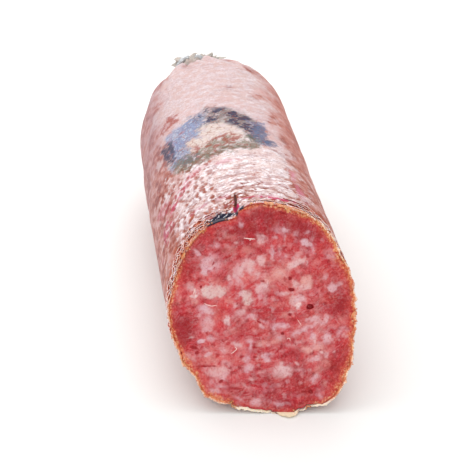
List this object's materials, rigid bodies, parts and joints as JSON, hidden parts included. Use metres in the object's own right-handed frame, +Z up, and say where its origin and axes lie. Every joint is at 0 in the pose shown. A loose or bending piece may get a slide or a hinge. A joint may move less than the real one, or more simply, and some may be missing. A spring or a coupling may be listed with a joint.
{
  "type": "cured sausage",
  "caption": "End piece of a dry cured sausage, cut at a slant, with a thin wrinkled casing gathered into a wire clip at the far end.",
  "frame": {"origin": "on the resting surface, under the centre of the bounding box", "axes": "+Y along the sausage from the cut to the clipped end, +Z up, +X to the right of someone who faces the cut"},
  "size_m": [0.0532, 0.1782, 0.051],
  "materials": {
    "cured_meat": "moist cut face of red lean with pale fat grains",
    "dried_casing": "thin dried skin, wrinkled, pale bloom over reddish brown, faded print",
    "clip_wire": "dull drawn wire"
  },
  "bodies": {
    "root": {"meat": "cured_meat", "casing": "dried_casing", "clip": "clip_wire"}
  },
  "joints": []
}
